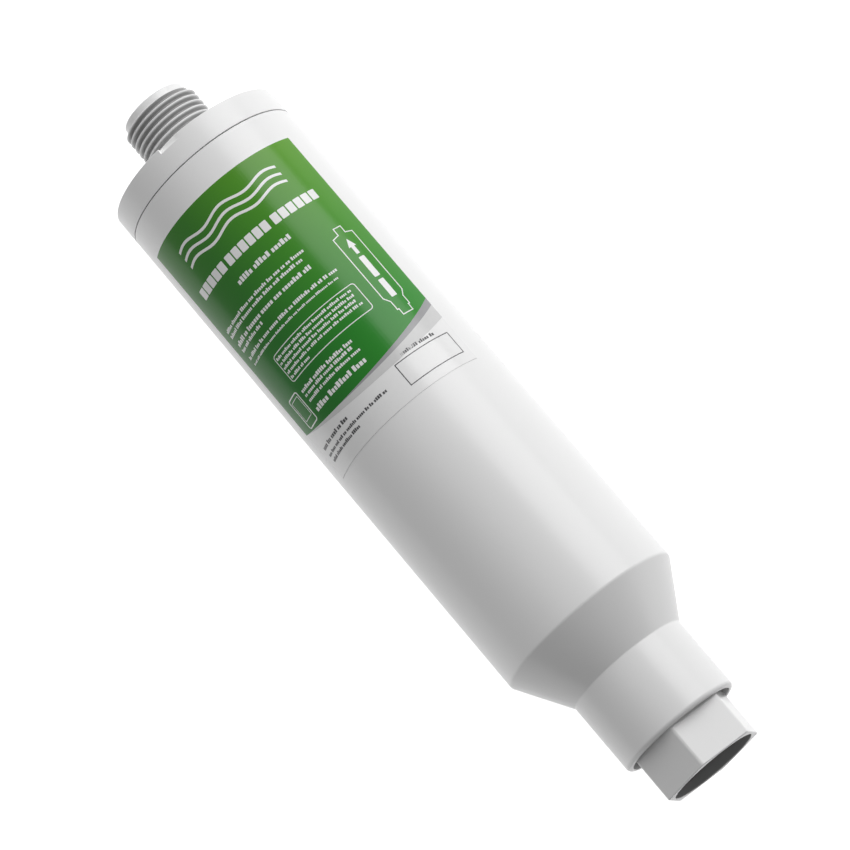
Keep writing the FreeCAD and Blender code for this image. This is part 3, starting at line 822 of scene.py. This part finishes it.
def stick(name, bm, low, thick, material):
    """Bent skin of film or ink on the front of the body."""
    skin = finish_mesh(name, bend(bm, low, thick), material)
    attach(skin, "filter_body")
    return skin


draw = random.Random(11)
x_label = (low_x("front_label"), high_x("front_label"))
arc_label = (-FILM_HALF, FILM_HALF)
INK_LOW = FILM_THICK
MARK_LOW = FILM_THICK + INK_THICK

film = bmesh.new()
block(film, x_label, arc_label)
film_piece = stick("label_film", film, 0, FILM_THICK,
                   printed("film_white", ((0.79, 0.79, 0.79), (0.80, 0.80, 0.80)), roughness=0.22))
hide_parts("front_label")

green_curve = through(GREEN_EDGE)
grey_curve = through(GREY_EDGE)


def dark_curve(at):
    """Far edge of the dark stripe, which narrows evenly to nothing."""
    return green_curve(at) - DARK_WIDE * max(at - DARK_FROM, 0) / (GREEN_EDGE[0][0] - DARK_FROM)


field = bmesh.new()
strip(field, green_curve, lambda at: x_label[1], arc_label, steps=1 + round(2 * FILM_HALF / ARC_STEP))
stick("green_field", field, INK_LOW, INK_THICK, blended_green())

dark = bmesh.new()
strip(dark, dark_curve, green_curve, (DARK_FROM, FILM_HALF))
stick("dark_stripe", dark, INK_LOW, INK_THICK,
      printed("dark_ink", ((0.30, 0.30, 0.31), (0.31, 0.31, 0.32)), roughness=0.25))

pale = bmesh.new()
strip(pale, grey_curve, dark_curve, arc_label, steps=96)
stick("pale_stripe", pale, INK_LOW, INK_THICK,
      printed("pale_ink", ((0.58, 0.58, 0.58), (0.60, 0.60, 0.60)), roughness=0.25))

marks = bmesh.new()
for x in WAVES:
    wave(marks, x)
for arc_from, arc_to, count in TITLE:
    pitch = (arc_to - arc_from + TITLE_GAP) / count
    for number in range(count):
        start = arc_from + number * pitch
        block(marks, TITLE_X, (start, start + pitch - TITLE_GAP), corner=0.3)
dashes(marks, *LINE_MODEL)
for line in LINES_WHITE:
    dashes(marks, *line)
for x, arc, corner, line in BOXES:
    hollow(marks, block(marks, x, arc, corner), line)
hollow(marks, flat_shape(marks, mirrored(FLOW, FLOW_ARC)), FLOW_LINE)
flat_shape(marks, mirrored(ARROW, FLOW_ARC))
for x in FLOW_WORDS:
    block(marks, x, (FLOW_ARC - FLOW_WORD_HALF, FLOW_ARC + FLOW_WORD_HALF), corner=0.3)
stick("white_marks", marks, MARK_LOW, INK_THICK,
      printed("white_ink", ((0.80, 0.80, 0.80), (0.82, 0.82, 0.82)), roughness=0.25))

notes = bmesh.new()
hollow(notes, block(notes, *DATE_BOX), 0.3)
dashes(notes, *LINE_DATE)
for line in LINES_DARK:
    dashes(notes, *line)
stick("dark_marks", notes, INK_LOW, INK_THICK,
      printed("dark_print", ((0.05, 0.05, 0.055), (0.06, 0.06, 0.065)), roughness=0.3))

# ---------------------------------------------------------------------------------------------
# The studio: a white floor, a room that is darker behind the inlet, one large softbox in front on
# the outlet's side, and a long lens that looks down on the label.

ROOM_DARK = 0.10                 # light from the room on the inlet's side
ROOM_LIGHT = 0.74                # light from the room on the outlet's side
FLOOR_BOUNCE = 2.1               # how much more light comes up from the floor than from the room
FLOOR_HALF = 3000                # half the floor's width, in mm
FLOOR_GLOW = 0.9
MIDDLE_X = 125                   # middle of the filter, in mm
LENS = 174.8
CAMERA_AT = (-0.178, -0.154, 1.251)      # in metres
CAMERA_LOOKS_AT = (0.1264, -0.0004, 0)   # in metres
CAMERA_ROLL = -67.98             # degrees

world = bpy.data.worlds.new("studio")
world.use_nodes = True
sky = world.node_tree
sky.nodes["Background"].inputs["Color"].default_value = (1, 1, 1, 1)
direction = sky.nodes.new("ShaderNodeTexCoord")
axes = sky.nodes.new("ShaderNodeSeparateXYZ")
fall = sky.nodes.new("ShaderNodeMapRange")
for key, value in (("From Min", -1.0), ("To Min", ROOM_DARK), ("To Max", ROOM_LIGHT)):
    fall.inputs[key].default_value = value
bounce = sky.nodes.new("ShaderNodeMapRange")
for key, value in (("From Min", 0.05), ("From Max", -0.2), ("To Min", 1.0), ("To Max", FLOOR_BOUNCE)):
    bounce.inputs[key].default_value = value
strength = sky.nodes.new("ShaderNodeMath")
strength.operation = "MULTIPLY"
sky.links.new(direction.outputs["Generated"], axes.inputs["Vector"])
sky.links.new(axes.outputs["X"], fall.inputs["Value"])
sky.links.new(axes.outputs["Z"], bounce.inputs["Value"])
sky.links.new(fall.outputs["Result"], strength.inputs[0])
sky.links.new(bounce.outputs["Result"], strength.inputs[1])
sky.links.new(strength.outputs["Value"], sky.nodes["Background"].inputs["Strength"])
bpy.context.scene.world = world
bpy.context.scene.view_settings.view_transform = "Standard"

ground = bmesh.new()
bmesh.ops.create_grid(ground, x_segments=1, y_segments=1, size=FLOOR_HALF)
bmesh.ops.translate(ground, verts=ground.verts[:], vec=(MIDDLE_X, 0, -BODY_R))
floor_paint = moulded_plastic("floor_paint", (0.55, 0.55, 0.55), roughness=0.7)
glow = floor_paint.node_tree.nodes["Principled BSDF"].inputs
glow["Emission Color"].default_value = (1, 1, 1, 1)
glow["Emission Strength"].default_value = FLOOR_GLOW
floor = finish_mesh("floor", ground, floor_paint)
floor.visible_diffuse = False


def softbox(name, place, aim, wide, high, watts):
    """Area light that points from its place at a target, both in mm."""
    light = bpy.data.lights.new(name, "AREA")
    light.shape = "RECTANGLE"
    light.size = wide * MM
    light.size_y = high * MM
    light.energy = watts
    lamp = bpy.data.objects.new(name, light)
    bpy.context.scene.collection.objects.link(lamp)
    lamp.location = Vector(place) * MM
    lamp.rotation_euler = (Vector(aim) - Vector(place)).to_track_quat("-Z", "Y").to_euler()


softbox("key", place=(420, -900, 500), aim=(MIDDLE_X, 0, 0), wide=800, high=850, watts=7.1)

camera = bpy.data.cameras.new("camera")
camera.lens = LENS
camera.sensor_width = 36
camera.clip_end = 20
view = bpy.data.objects.new("camera", camera)
bpy.context.scene.collection.objects.link(view)
view.location = CAMERA_AT
look = (Vector(CAMERA_LOOKS_AT) - view.location).to_track_quat("-Z", "Y")
roll = Matrix.Rotation(math.radians(CAMERA_ROLL), 3, "Z").to_quaternion()
view.rotation_euler = (look @ roll).to_euler()
bpy.context.scene.camera = view
